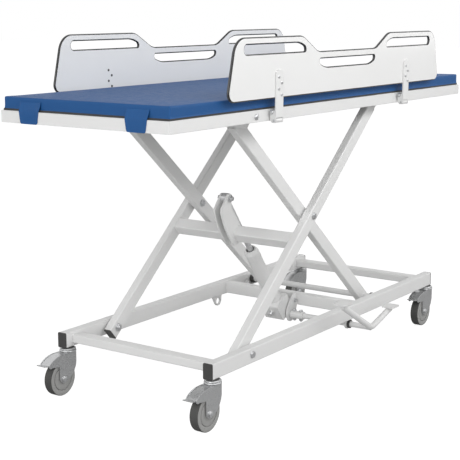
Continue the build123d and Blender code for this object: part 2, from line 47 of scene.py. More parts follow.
JOINT_PLACE = {joint["name"]: Vector(joint["pos_m"]) for joint in frame["joints"]}
MIDDLE = JOINT_PLACE["lift"].y
SIDES = {"right": -1, "left": 1}
CORNERS = [f"{end}_{side}" for end in ("foot", "head") for side in SIDES]


def at(x, y, z):
    """A place on the trolley: millimetres from its middle plane to metres in the frame."""
    return Vector((x / 1000, y / 1000 + MIDDLE, z / 1000))


def on_pivot(joint, y):
    """A place on a pivot's line, that many millimetres from the middle plane."""
    return JOINT_PLACE[joint] + Vector((0, y / 1000, 0))


# Shader building blocks


def wire(tree, value, socket):
    if isinstance(value, bpy.types.NodeSocket):
        tree.links.new(value, socket)
    else:
        socket.default_value = value


def place(tree, kind, inputs=None, **settings):
    node = tree.nodes.new("ShaderNode" + kind)
    for key, value in settings.items():
        setattr(node, key, value)
    for key, value in (inputs or {}).items():
        wire(tree, value, node.inputs[key])
    return node


def blend_colours(tree, factor, first, second):
    return place(tree, "Mix", {0: factor, 6: first, 7: second}, data_type="RGBA").outputs[2]


def remap(tree, value, low, high, new_low=0.0, new_high=1.0):
    sizes = {"Value": value, "From Min": low, "From Max": high, "To Min": new_low, "To Max": new_high}
    return place(tree, "MapRange", sizes).outputs[0]


def multiply(tree, first, second):
    return place(tree, "Math", {0: first, 1: second}, operation="MULTIPLY").outputs[0]


def speckle(tree, scale, detail=3.0, roughness=0.55, stretch=None):
    where = place(tree, "TexCoord").outputs["Object"]
    if stretch:
        where = place(tree, "Mapping", {"Vector": where, "Scale": stretch}).outputs[0]
    sizes = {"Vector": where, "Scale": scale, "Detail": detail, "Roughness": roughness}
    return place(tree, "TexNoise", sizes).outputs[0]


def shader_group(name, inputs, outputs):
    tree = bpy.data.node_groups.new(name, "ShaderNodeTree")
    for direction, sockets in (("INPUT", inputs), ("OUTPUT", outputs)):
        for label, kind in sockets.items():
            tree.interface.new_socket(label, in_out=direction, socket_type="NodeSocket" + kind)
    return tree, tree.nodes.new("NodeGroupInput").outputs, tree.nodes.new("NodeGroupOutput").inputs


def use_group(tree, group, inputs=None):
    node = tree.nodes.new("ShaderNodeGroup")
    node.node_tree = group
    for key, value in (inputs or {}).items():
        wire(tree, value, node.inputs[key])
    return node.outputs


def cloudy_coat_group():
    """Slow change of tone and gloss over a coat, and the fine peel of a sprayed or moulded skin."""
    inputs = {"Color": "Color", "Shade": "Color", "Matt": "Float", "Gloss": "Float", "Grain": "Float"}
    outputs = {"Color": "Color", "Roughness": "Float", "Height": "Float"}
    tree, inlet, outlet = shader_group("cloudy_coat", inputs, outputs)
    cloud = remap(tree, speckle(tree, 5.0, 5.0), 0.35, 0.68)
    tone = blend_colours(tree, cloud, inlet["Color"], inlet["Shade"])
    tree.links.new(tone, outlet["Color"])
    gloss = remap(tree, speckle(tree, 17.0, 4.0), 0.3, 0.7, inlet["Gloss"], inlet["Matt"])
    tree.links.new(gloss, outlet["Roughness"])
    where = place(tree, "TexCoord").outputs["Object"]
    peel = place(tree, "TexNoise", {"Vector": where, "Scale": inlet["Grain"], "Detail": 2.0})
    tree.links.new(peel.outputs[0], outlet["Height"])
    return tree


def eased_edges_group():
    """Rounds the look of sharp edges and marks where they are rubbed."""
    tree, inlet, outlet = shader_group(
        "eased_edges", {"Radius": "Float"}, {"Normal": "Vector", "Mask": "Float"}
    )
    eased = place(tree, "Bevel", {"Radius": inlet["Radius"]}, samples=4).outputs[0]
    flat = place(tree, "NewGeometry").outputs["Normal"]
    turn = place(tree, "VectorMath", {0: eased, 1: flat}, operation="DOT_PRODUCT").outputs["Value"]
    edge = remap(tree, turn, 0.995, 0.88)
    rubbed = multiply(tree, edge, remap(tree, speckle(tree, 60.0, 5.0), 0.45, 0.65))
    tree.links.new(eased, outlet["Normal"])
    tree.links.new(rubbed, outlet["Mask"])
    return tree


def settled_dust_group():
    """A thin film on faces that look up."""
    tree, inlet, outlet = shader_group("settled_dust", {"Amount": "Float"}, {"Mask": "Float"})
    facing = place(tree, "TexCoord").outputs["Normal"]
    upward = place(tree, "SeparateXYZ", {0: facing}).outputs[2]
    film = multiply(tree, remap(tree, upward, 0.7, 1.0), remap(tree, speckle(tree, 26.0, 6.0), 0.4, 0.7))
    tree.links.new(multiply(tree, film, inlet["Amount"]), outlet["Mask"])
    return tree


def drawn_metal_group():
    """Faint streaks along a direction and small cloudy stains."""
    inputs = {"Color": "Color", "Stain": "Color", "Stretch": "Vector"}
    tree, inlet, outlet = shader_group(
        "drawn_metal", inputs, {"Color": "Color", "Roughness": "Float", "Height": "Float"}
    )
    where = place(tree, "TexCoord").outputs["Object"]
    drawn = place(tree, "Mapping", {"Vector": where, "Scale": inlet["Stretch"]}).outputs[0]
    streak = place(tree, "TexNoise", {"Vector": drawn, "Scale": 300.0, "Detail": 3.0}).outputs[0]
    stain = remap(tree, speckle(tree, 70.0, 5.0), 0.42, 0.72)
    tree.links.new(blend_colours(tree, stain, inlet["Color"], inlet["Stain"]), outlet["Color"])
    tree.links.new(remap(tree, streak, 0.3, 0.7, 0.24, 0.44), outlet["Roughness"])
    tree.links.new(streak, outlet["Height"])
    return tree


def vinyl_grain_group():
    """Leather-like cells pressed into vinyl, with a slow mottle."""
    outputs = {"Color": "Color", "Height": "Float", "Roughness": "Float"}
    tree, inlet, outlet = shader_group("vinyl_grain", {"Color": "Color", "Shade": "Color"}, outputs)
    where = place(tree, "TexCoord").outputs["Object"]
    cells = place(tree, "TexVoronoi", {"Vector": where, "Scale": 620.0}, feature="DISTANCE_TO_EDGE")
    pressed = remap(tree, cells.outputs["Distance"], 0.0, 0.16)
    mottle = remap(tree, speckle(tree, 42.0, 6.0, 0.7), 0.36, 0.66)
    tree.links.new(blend_colours(tree, mottle, inlet["Color"], inlet["Shade"]), outlet["Color"])
    tree.links.new(pressed, outlet["Height"])
    tree.links.new(remap(tree, mottle, 0.0, 1.0, 0.48, 0.58), outlet["Roughness"])
    return tree


CLOUDY_COAT = cloudy_coat_group()
EASED_EDGES = eased_edges_group()
SETTLED_DUST = settled_dust_group()
DRAWN_METAL = drawn_metal_group()
VINYL_GRAIN = vinyl_grain_group()


# Finishes


def new_finish(name, **constants):
    material = bpy.data.materials.new(name)
    material.use_nodes = True
    tree = material.node_tree
    surface = tree.nodes["Principled BSDF"].inputs
    for label, value in constants.items():
        surface[label.replace("_", " ")].default_value = value
    return material, tree, surface


def raise_grain(tree, surface, height, distance, normal=None, strength=0.5):
    inputs = {"Height": height, "Distance": distance, "Strength": strength}
    if normal:
        inputs["Normal"] = normal
    tree.links.new(place(tree, "Bump", inputs).outputs[0], surface["Normal"])


def painted(name, colour, shade, worn, gloss=0.34, matt=0.46, dust=0.05, edge=0.0024):
    """Powder coat over steel, thinner at the edges, with a little dust on top."""
    material, tree, surface = new_finish(name)
    sizes = {"Color": colour, "Shade": shade, "Gloss": gloss, "Matt": matt, "Grain": 380.0}
    coat = use_group(tree, CLOUDY_COAT, sizes)
    edges = use_group(tree, EASED_EDGES, {"Radius": edge})
    film = use_group(tree, SETTLED_DUST, {"Amount": dust})
    tone = blend_colours(tree, edges["Mask"], coat["Color"], worn)
    tone = blend_colours(tree, film["Mask"], tone, (0.62, 0.6, 0.56, 1))
    tree.links.new(tone, surface["Base Color"])
    tree.links.new(coat["Roughness"], surface["Roughness"])
    raise_grain(tree, surface, coat["Height"], 0.00012, edges["Normal"], 0.35)
    return material


def plated(name, colour, stain, metallic, stretch=(1.0, 1.0, 1.0), edge=0.0006):
    material, tree, surface = new_finish(name, Metallic=metallic)
    metal = use_group(tree, DRAWN_METAL, {"Color": colour, "Stain": stain, "Stretch": stretch})
    edges = use_group(tree, EASED_EDGES, {"Radius": edge})
    tree.links.new(metal["Color"], surface["Base Color"])
    tree.links.new(metal["Roughness"], surface["Roughness"])
    raise_grain(tree, surface, metal["Height"], 0.00005, edges["Normal"], 0.3)
    return material


def moulded(name, colour, shade, gloss, matt, grain=900.0, edge=0.0008):
    material, tree, surface = new_finish(name)
    sizes = {"Color": colour, "Shade": shade, "Gloss": gloss, "Matt": matt, "Grain": grain}
    skin = use_group(tree, CLOUDY_COAT, sizes)
    edges = use_group(tree, EASED_EDGES, {"Radius": edge})
    film = use_group(tree, SETTLED_DUST, {"Amount": 0.08})
    tone = blend_colours(tree, edges["Mask"], skin["Color"], shade)
    tone = blend_colours(tree, film["Mask"], tone, (0.4, 0.39, 0.37, 1))
    tree.links.new(tone, surface["Base Color"])
    tree.links.new(skin["Roughness"], surface["Roughness"])
    raise_grain(tree, surface, skin["Height"], 0.00015, edges["Normal"], 0.5)
    return material


def blue_vinyl():
    material, tree, surface = new_finish("blue_vinyl", IOR=1.34)
    grain = use_group(
        tree, VINYL_GRAIN, {"Color": (0.011, 0.083, 0.257, 1), "Shade": (0.013, 0.089, 0.269, 1)}
    )
    tree.links.new(grain["Color"], surface["Base Color"])
    tree.links.new(grain["Roughness"], surface["Roughness"])
    raise_grain(tree, surface, grain["Height"], 0.00018, None, 0.45)
    return material


def rail_laminate():
    """White faces with the black core and edge band showing at every cut edge."""
    material, tree, surface = new_finish("rail_laminate")
    tones = {"Color": (0.865, 0.865, 0.86, 1), "Shade": (0.85, 0.85, 0.845, 1)}
    face = use_group(tree, CLOUDY_COAT, {**tones, "Grain": 700.0, "Gloss": 0.07, "Matt": 0.13})
    facing = place(tree, "TexCoord").outputs["Normal"]
    across = place(tree, "SeparateXYZ", {0: facing}).outputs[1]
    level = place(tree, "Math", {0: across}, operation="ABSOLUTE").outputs[0]
    band = remap(tree, level, 0.998, 0.985)
    core = remap(tree, level, 0.5, 0.1)
    edge = blend_colours(tree, core, (0.016, 0.016, 0.017, 1), (0.075, 0.075, 0.076, 1))
    tone = blend_colours(tree, band, face["Color"], edge)
    tree.links.new(tone, surface["Base Color"])
    tree.links.new(face["Roughness"], surface["Roughness"])
    raise_grain(tree, surface, face["Height"], 0.00006, None, 0.3)
    return material


WHITE = (0.8, 0.8, 0.795, 1)
WHITE_SHADE = (0.785, 0.785, 0.78, 1)
FINISHES = {
    "white_paint": painted("white_paint", WHITE, WHITE_SHADE, (0.76, 0.76, 0.755, 1)),
    "pump_paint": painted("pump_paint", WHITE, (0.76, 0.76, 0.755, 1), (0.7, 0.7, 0.69, 1), matt=0.55),
    "bracket_paint": painted("bracket_paint", WHITE, WHITE_SHADE, (0.74, 0.74, 0.735, 1)),
    "pedal_paint": painted("pedal_paint", WHITE, WHITE_SHADE, (0.66, 0.65, 0.64, 1), dust=0.1),
    "zinc_steel": plated("zinc_steel", (0.66, 0.67, 0.68, 1), (0.58, 0.58, 0.58, 1), 0.9),
    "polished_rod": plated("polished_rod", (0.72, 0.72, 0.73, 1), (0.66, 0.66, 0.66, 1), 0.6, (1, 40, 1)),
    "black_plastic": moulded("black_plastic", (0.046, 0.045, 0.044, 1), (0.056, 0.055, 0.054, 1), 0.36, 0.5),
    "black_board": moulded("black_board", (0.03, 0.03, 0.032, 1), (0.045, 0.045, 0.046, 1), 0.45, 0.65),
    "blue_vinyl": blue_vinyl(),
    "rail_laminate": rail_laminate(),
    "caster_steel": plated("caster_steel", (0.58, 0.585, 0.59, 1), (0.55, 0.555, 0.56, 1), 0.85, edge=0.0016),
    "wheel_plastic": moulded("wheel_plastic", (0.36, 0.36, 0.35, 1), (0.34, 0.34, 0.332, 1), 0.4, 0.55),
    "tread_rubber": moulded("tread_rubber", (0.055, 0.055, 0.053, 1), (0.075, 0.075, 0.072, 1), 0.55, 0.75),
}


def finish_frame_parts():
    for subpart in frame["record"]["subparts"]:
        part = frame["nodes"][subpart["node"]]
        part.data.materials.clear()
        part.data.materials.append(FINISHES[subpart["material_slot"]])


# Shapes


def keep_piece(bm, name, body, slot, sharp=35):
    bmesh.ops.recalc_face_normals(bm, faces=bm.faces)
    mesh = bpy.data.meshes.new(name)
    bm.to_mesh(mesh)
    bm.free()
    return keep_mesh(mesh, name, body, slot, sharp)


def keep_mesh(mesh, name, body, slot, sharp=35):
    mesh.shade_smooth()
    mesh.set_sharp_from_angle(angle=math.radians(sharp))
    mesh.materials.clear()
    mesh.materials.append(FINISHES[slot])
    piece = bpy.data.objects.new(name, mesh)
    scene.collection.objects.link(piece)
    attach(piece, body)
    return piece


def bridge(bm, low, high):
    """Faces between two rings of the same count; either may be a single point."""
    count = max(len(low), len(high))
    for step in range(count):
        after = (step + 1) % count
        if len(low) == 1:
            bm.faces.new((low[0], high[after], high[step]))
        elif len(high) == 1:
            bm.faces.new((low[step], low[after], high[0]))
        else:
            bm.faces.new((low[step], low[after], high[after], high[step]))


def add_turned(bm, profile, centre, axis, closed=False, count=48):
    """Turns a profile about an axis. Its rows are (radius, height) in millimetres, and a third
    word, hex, makes that ring six-sided with the radius as half its width across flats."""
    along = Vector(axis).normalized()
    side = along.orthogonal().normalized()
    other = along.cross(side)
    rings = []
    for row in profile:
        middle = centre + along * row[1] / 1000
        if row[0] == 0:
            rings.append([bm.verts.new(middle)])
            continue
        ring = []
        for step in range(count):
            angle = 2 * math.pi * step / count
            reach = row[0] / 1000
            if len(row) == 3:
                reach /= math.cos(angle % (math.pi / 3) - math.pi / 6)
            ring.append(bm.verts.new(middle + (side * math.cos(angle) + other * math.sin(angle)) * reach))
        rings.append(ring)
    follow = rings[1:] + rings[:1] if closed else rings[1:]
    for low, high in zip(rings, follow):
        bridge(bm, low, high)


def hex_head(flats, height, washer=0.0):
    """Profile of a hexagon head with a chamfered top, on a washer of the radius given."""
    half = flats / 2
    rows = [(0, 0)]
    base = 0.0
    if washer:
        base = 1.6
        rows += [(washer - 0.4, 0), (washer, 0.4), (washer, base - 0.3), (washer - 0.3, base)]
    rows += [(half, base, "hex"), (half, base + height * 0.8, "hex"), (half * 0.93, base + height)]
    return rows + [(half * 0.5, base + height + 0.15), (0, base + height + 0.15)]


def nut_and_end(flats, height, washer, bolt, proud):
    """Profile of a nut on a washer with the rounded bolt end standing out of it."""
    rows = hex_head(flats, height, washer)[:-2]
    top = rows[-1][1]
    rows += [(bolt + 0.4, top), (bolt, top - 0.4), (bolt, top + proud - 1), (bolt - 1, top + proud)]
    return rows + [(0, top + proud)]


def collar(radius, length, ease=0.8):
    start = [(0, 0), (radius - ease, 0), (radius, ease)]
    return start + [(radius, length - ease), (radius - ease, length), (0, length)]


# Pivots of the scissor


DOME_HEAD = [(0, 0), (9.2, 0), (9.6, 0.5), (9.4, 2.4), (8.2, 4.2), (6.0, 5.3), (3.0, 5.9), (0, 6)]
HORN_PIN = [(8, 17.1), (11.6, 17.1), (12.2, 17.7), (12.2, 21.4), (11.6, 22), (8, 22)]
HORN_PIN += [(8, 29), (7, 30), (0, 30)]

# Each bolt's pieces with their distance from the middle plane: head and spacer point outwards, the
# nut points inwards
PIVOTS = {
    "base_pivot": {
        "joint": "lift",
        "body": "base",
        "head": (hex_head(19, 4.4, 12.2), 313),
        "spacer": (collar(16, 9.4), 269.5),
        "nut": (nut_and_end(22, 7, 14, 6.5, 3), 239.8),
    },
    "centre_pivot": {
        "joint": "scissor_cross",
        "body": "inner_arms",
        "head": (hex_head(19, 4.0, 12.2), 269.3),
        "spacer": (collar(16, 7.4), 232.1),
        "nut": (nut_and_end(22, 6, 13, 6.5, 2), 202.9),
    },
    "top_pivot": {
        "joint": "top_level",
        "body": "top",
        "head": (DOME_HEAD, 323),
        "spacer": (collar(13, 87.5), 232.4),
        "nut": (nut_and_end(22, 6, 13, 6.5, 2), 202.7),
    },
}


def pivot_bolts():
    for side, sign in SIDES.items():
        for name, pivot in PIVOTS.items():
            bm = bmesh.new()
            for part, way in (("head", sign), ("spacer", sign), ("nut", -sign)):
                profile, y = pivot[part]
                add_turned(bm, profile, on_pivot(pivot["joint"], sign * y), (0, way, 0))
            piece = keep_piece(bm, f"{name}_{side}", pivot["body"], "zinc_steel")
            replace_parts(piece, f"{name}_bolts")


def horn_pin():
    other_half = [(radius, -height) for radius, height in reversed(HORN_PIN)]
    bm = bmesh.new()
    add_turned(bm, other_half + HORN_PIN, on_pivot("ram_rod_swing", 0), (0, 1, 0))
    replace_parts(keep_piece(bm, "horn_pin_turned", "outer_arms", "zinc_steel"), "horn_pin")


# Small parts of the pump and pedal


RAM_WAY = (JOINT_PLACE["ram_rod_swing"] - JOINT_PLACE["pump_swing"]).normalized()
RAM_UNDERSIDE = Vector((-RAM_WAY.z, 0, RAM_WAY.x))
FILLER_PLUG = [(0, -14), (9.6, -14), (9.6, -3), (9.0, -1.2), (7.6, 0), (5.6, 0.3)]
FILLER_PLUG += [(5, 0.2, "hex"), (4.8, -2, "hex"), (0, -2)]
PLUG_ALONG = 52
PLUG_SHIFT = Vector((0, -0.004, 0))
PLUG_OUT = 0.0615
BARREL_BAND = [(26, -3), (27.2, -2.4), (27.2, 2.4), (26, 3)]
BAND_ALONG = 300
GLAND = [(20.2, -3), (20.2, 0.6), (19.2, 1.2), (16.4, 1.2), (15.3, 0.4), (15.3, -3)]
BARREL_MOUTH = 340
CLAMP_PLACES = (-64, -92)
CLAMP_FACE = Vector((0, 0, 0.0138))


def on_ram(distance):
    """A place on the ram's line, that many millimetres from the pedal shaft."""
    return JOINT_PLACE["pump_swing"] + RAM_WAY * distance / 1000


def pump_details():
    bm = bmesh.new()
    plug_place = on_ram(PLUG_ALONG) + PLUG_SHIFT + RAM_UNDERSIDE * PLUG_OUT
    add_turned(bm, FILLER_PLUG, plug_place, RAM_UNDERSIDE)
    keep_piece(bm, "filler_plug", "pump", "zinc_steel")
    bm = bmesh.new()
    add_turned(bm, BARREL_BAND, on_ram(BAND_ALONG), RAM_WAY, closed=True, count=64)
    add_turned(bm, GLAND, on_ram(BARREL_MOUTH), RAM_WAY, closed=True, count=64)
    keep_piece(bm, "barrel_gland", "pump", "pump_paint")


def pedal_clamp():
    """Two clamp bolts through the sleeve on the pedal shaft, and the bolts of the pump's cheeks."""
    bm = bmesh.new()
    for y in CLAMP_PLACES:
        middle = on_pivot("pedal_rock", y)
        add_turned(bm, hex_head(13, 5, 8), middle + CLAMP_FACE, (0, 0, 1))
        add_turned(bm, nut_and_end(13, 5, 8, 4, 3), middle - CLAMP_FACE, (0, 0, -1))
    keep_piece(bm, "pedal_clamp_bolts", "pedal", "zinc_steel")
    bm = bmesh.new()
    for sign in SIDES.values():
        add_turned(bm, hex_head(13, 5, 8.5), at(157, sign * 48, 181), (0, sign, 0))
    keep_piece(bm, "cheek_bolts", "base", "zinc_steel")


# Weld beads


CROSS_TUBES = ((-707, -662), (693, 738))
CROSS_EDGES = (168.8, 196.7)
MIDDLE_TUBE = (170.4, 203.6)
TUBE_INSIDE = 278.4
CHEEK_FACES = (42, 48)
LIFT_BAR_JOINTS = (-239.5, -17, 17, 239.5)
LIFT_BAR_EDGES = (-137.5, -94.5)
LIFT_BAR_FACES = (-21.5, 21.5)


def add_bead(bm, start, end, radius=2.2, step=3.0):
    """A rippled weld bead between two places, with rounded ends."""
    way = end - start
    count = max(4, round(way.length * 1000 / step) * 2)
    profile = [(0, 0)]
    for number in range(1, count):
        ripple = 1.0 if number % 2 else 0.88
        near_end = min(number, count - number) / 2
        swell = min(1.0, 0.6 + 0.4 * near_end)
        profile.append((radius * ripple * swell, way.length * 1000 * number / count))
    add_turned(bm, profile + [(0, way.length * 1000)], start, way, count=12)


def weld_beads():
    bm = bmesh.new()
    for sign in SIDES.values():
        inside = sign * TUBE_INSIDE
        for low, high in CROSS_TUBES:
            for z in CROSS_EDGES:
                add_bead(bm, at(low + 4, inside, z), at(high - 4, inside, z))
        for x in MIDDLE_TUBE:
            add_bead(bm, at(x, inside, 166), at(x, inside, 200))
        for y in CHEEK_FACES:
            add_bead(bm, at(170, sign * y, 164), at(170, sign * y, 202))
    keep_piece(bm, "chassis_welds", "base", "white_paint", 60)
    hub = JOINT_PLACE["scissor_cross"] - JOINT_PLACE["lift"]
    along = hub.normalized()
    up = Vector((-along.z, 0, along.x))
    bm = bmesh.new()
    for y in LIFT_BAR_JOINTS:
        middle = on_pivot("scissor_cross", y)
        for edge in LIFT_BAR_EDGES:
            foot = middle + along * edge / 1000
            add_bead(bm, foot - up * 0.017, foot + up * 0.017)
        for level in LIFT_BAR_FACES:
            foot = middle + up * level / 1000
            add_bead(bm, foot - along * 0.133, foot - along * 0.099)
    keep_piece(bm, "lift_bar_welds", "outer_arms", "white_paint", 60)


# Side rails


# Corners of the outlines: along the trolley, height and fillet radius
RAIL_CORNERS = [(706, 984.5, 28), (661, 1172, 60), (289, 1172, 75), (194, 1120, 75)]
END_SLOT = [(617, 1122.2, 13), (617, 1149.4, 13), (308, 1149.4, 120), (274, 1135.6, 12)]
END_SLOT += [(274, 1122.2, 5)]
MIDDLE_SLOT = [(152, 1068.4, 120), (185, 1081.8, 11), (185, 1095.2, 5.5)]
RAIL_OUTER = 344.5
RAIL_INNER = 335.0
RAIL_EDGE = 4.4
EDGE_STEPS = 6
FILLET_STEPS = 12


def mirrored(corners):
    return [(-x, z, radius) for x, z, radius in reversed(corners)]


def rounded_loop(corners):
    """Points round an outline with filleted corners, each with the direction out of the outline."""
    loop = []
    for number, (x, z, radius) in enumerate(corners):
        corner = Vector((x, z))
        back = (Vector(corners[number - 1][:2]) - corner).normalized()
        ahead = (Vector(corners[(number + 1) % len(corners)][:2]) - corner).normalized()
        half = back.angle(ahead) / 2
        centre = corner + (back + ahead).normalized() * radius / math.sin(half)
        start = corner + back * radius / math.tan(half) - centre
        bulge = 1 if ahead.cross(back) > 0 else -1
        for step in range(FILLET_STEPS + 1):
            turn = bulge * (math.pi - 2 * half) * step / FILLET_STEPS
            spoke = Vector((
                start.x * math.cos(turn) - start.y * math.sin(turn),
                start.x * math.sin(turn) + start.y * math.cos(turn),
            ))
            loop.append((centre + spoke, spoke * bulge / radius))
    return loop


def rail_panel(side, sign):
    """White board with a rounded edge all round it and round its three hand slots."""
    rows = []
    for step in range(EDGE_STEPS + 1):
        turn = math.pi / 2 * step / EDGE_STEPS
        inset = RAIL_EDGE * (1 - math.sin(turn))
        rows.append((inset, RAIL_OUTER - RAIL_EDGE * (1 - math.cos(turn))))
    rows += [(inset, RAIL_OUTER + RAIL_INNER - y) for inset, y in reversed(rows)]
    bm = bmesh.new()
    faces = ([], [])
    outlines = [RAIL_CORNERS + mirrored(RAIL_CORNERS), END_SLOT, mirrored(END_SLOT)]
    outlines.append(MIDDLE_SLOT + mirrored(MIDDLE_SLOT))
    for number, corners in enumerate(outlines):
        way = 1 if number else -1
        rings = []
        for inset, y in rows:
            ring = []
            for point, out in rounded_loop(corners):
                spot = point + out * inset * way
                ring.append(bm.verts.new(at(spot.x, sign * y, spot.y)))
            rings.append(ring)
        for low, high in zip(rings, rings[1:]):
            bridge(bm, low, high)
        for face, ring in zip(faces, (rings[0], rings[-1])):
            face += [bm.edges.get((ring[i - 1], ring[i])) for i in range(len(ring))]
    for face in faces:
        bmesh.ops.triangle_fill(bm, use_beauty=True, edges=face, normal=(0, 1, 0))
    piece = keep_piece(bm, f"rail_board_{side}", f"rail_{side}", "rail_laminate")
    for polygon in piece.data.polygons:
        if abs(polygon.normal.y) > 0.9995:
            polygon.use_smooth = False
    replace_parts(piece, f"rail_panel_{side}")


BUTTON_HEAD = [(0, 0), (5.3, 0), (5.5, 0.3), (5.2, 1.1), (4.4, 1.8), (3.2, 2.3), (2.2, 2.5)]
BUTTON_HEAD += [(1.8, 2.4, "hex"), (1.7, 1.2, "hex"), (0, 1.1)]
STOP_BOLT = [(0, -25.1), (2.6, -25.1, "hex"), (2.8, -26.3, "hex"), (4.4, -26.5), (5.9, -25.7), (6.5, -24.1)]
STOP_BOLT += [(6.5, -21.1), (4, -21), (4, 23.5), (3.2, 24.5), (0, 24.5)]
HINGE_PIN = [(0, -22.5), (3, -22.5), (4, -21.7), (4, 21.7), (3, 22.5), (0, 22.5)]
SCREW_END = [(0, -1), (4.2, -1), (4.2, 0.8), (3.7, 1.5), (2.0, 1.9), (0, 2.0)]
SCREW_ROWS = ((-8, 1049.5), (8, 1031.5), (-8, 1013.4), (8, 995.0))
BRACKETS = (-428, 428)
BRACKET_SHIFT = -3.5
BRACKET_FACE = 348.5


def rail_fasteners():
    for side, sign in SIDES.items():
        bm = bmesh.new()
        for x in BRACKETS:
            ears = x + BRACKET_SHIFT
            add_turned(bm, HINGE_PIN, at(ears, sign * 341, 917), (1, 0, 0), count=36)
            add_turned(bm, STOP_BOLT, at(ears, sign * 333, 942), (1, 0, 0), count=36)
            for offset, z in SCREW_ROWS:
                head = at(x + offset, sign * BRACKET_FACE, z)
                add_turned(bm, BUTTON_HEAD, head, (0, sign, 0), count=36)
        piece = keep_piece(bm, f"rail_screws_{side}", f"rail_{side}", "zinc_steel", 28)
        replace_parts(piece, f"rail_fasteners_{side}")
        bm = bmesh.new()
        for x in BRACKETS:
            for offset, z in SCREW_ROWS:
                end = at(x + offset, sign * RAIL_INNER, z)
                add_turned(bm, SCREW_END, end, (0, -sign, 0), count=24)
        keep_piece(bm, f"rail_screw_caps_{side}", f"rail_{side}", "black_plastic")


# Casters


SWIVEL_RING = [(0, 140.9), (25.6, 140.9), (27.4, 141.5), (28.2, 143.0), (27.8, 145.2), (26.2, 146.6)]
SWIVEL_RING += [(24.4, 147.0), (24.2, 147.7), (26.2, 148.3), (26.8, 149.6), (26.2, 151.6), (24.0, 153.0)]
SWIVEL_RING += [(20.0, 153.3), (0, 153.3)]
KINGPIN_END = [(0, 128.6), (8.6, 128.6), (10.6, 129.6), (11, 131.2), (11, 134.4), (0, 134.4)]
SWIVEL_WASHER = [(0, 153.3), (19.6, 153.3), (20.4, 154.0), (20.4, 156.0), (19.8, 156.6), (0, 156.6)]
TREAD = [(53.4, -15), (56.0, -15), (57.3, -14.3), (57.8, -13.2), (58, -11.6), (58, -6)]
TREAD += [(radius, -height) for radius, height in reversed(TREAD)]
HUB_FACE = [(53.3, 0), (53.3, 15.1), (56.0, 15.1), (56.3, 15.3), (55.8, 15.6), (42.2, 15.6), (41.4, 15.2)]
HUB_FACE += [(40.8, 12.0), (38.8, 12.0), (38.2, 14.6), (37.4, 15.0), (22, 14.6), (16.4, 14.8), (14.6, 15.4)]
HUB_FACE += [(14, 16), (13, 16.5), (6.1, 16.5)]
HUB = [(radius, -height) for radius, height in reversed(HUB_FACE)] + HUB_FACE[1:]
AXLE_BOLT = [(0, 0), (8.9, 0), (8.9, 3.4, "hex"), (8.3, 4.4), (6.9, 5.2), (5.4, 5.8), (3.0, 6.3), (0, 6.5)]
AXLE_BOLT_SEAT = 0.0204


def casters():
    for corner in CORNERS:
        swivel = JOINT_PLACE[f"swivel_{corner}"]
        foot = Vector((swivel.x, swivel.y, 0))
        bm = bmesh.new()
        add_turned(bm, SWIVEL_RING, foot, (0, 0, 1), count=60)
        add_turned(bm, KINGPIN_END, foot, (0, 0, 1))
        ring = keep_piece(bm, f"swivel_ring_{corner}", "base", "caster_steel", 40)
        bm = bmesh.new()
        add_turned(bm, SWIVEL_WASHER, foot, (0, 0, 1))
        washer = keep_piece(bm, f"swivel_washer_{corner}", "base", "black_plastic")
        for piece in (ring, washer):
            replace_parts(piece, "caster_heads")
        axle = JOINT_PLACE[f"wheel_spin_{corner}"]
        bm = bmesh.new()
        add_turned(bm, TREAD, axle, (0, 1, 0), closed=True, count=96)
        tread = keep_piece(bm, f"tyre_{corner}", f"wheel_{corner}", "tread_rubber", 50)
        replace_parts(tread, f"caster_tread_{corner}")
        bm = bmesh.new()
        add_turned(bm, HUB, axle, (0, 1, 0), closed=True, count=96)
        hub = keep_piece(bm, f"wheel_centre_{corner}", f"wheel_{corner}", "wheel_plastic", 40)
        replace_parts(hub, f"caster_hub_{corner}")
        bm = bmesh.new()
        for sign in (-1, 1):
            add_turned(bm, AXLE_BOLT, axle + Vector((0, sign * AXLE_BOLT_SEAT, 0)), (0, sign, 0))
        keep_piece(bm, f"axle_bolt_{corner}", f"fork_{corner}", "zinc_steel")


# Mattress and its straps


PAD_LOW = 958.0
PAD_HIGH = 993.6
PAD_ROUND = 4.5
PAD_HALF_LENGTH = 940.8
PAD_HALF_WIDTH = 318.6
PAD_CUT = 15
EDGE_CUTS = (0, 1.2, 2.6, 4.5, 8, 14)
HELD_BELOW = 0.9592
FOAM_GIVE = 0.0014
FILLING_FRAMES = 20


def graded(half):
    """Cuts across a panel: close together at both edges, even in the middle."""
    edge = [half - inset for inset in EDGE_CUTS]
    inner = edge[-1]
    count = round(2 * inner / PAD_CUT)
    middle = [-inner + 2 * inner * step / count for step in range(1, count)]
    return [-value for value in edge] + middle + list(reversed(edge))


def eased(x, y, z):
    """Rounds the upright corners and the top edge of the pad; the lower edge stays sharp."""
    core_x = PAD_HALF_LENGTH - PAD_ROUND
    core_y = PAD_HALF_WIDTH - PAD_ROUND
    core = Vector((
        max(-core_x, min(core_x, x)),
        max(-core_y, min(core_y, y)),
        min(PAD_HIGH - PAD_ROUND, z),
    ))
    out = Vector((x, y, z)) - core
    if out.length > PAD_ROUND:
        out *= PAD_ROUND / out.length
    return core + out


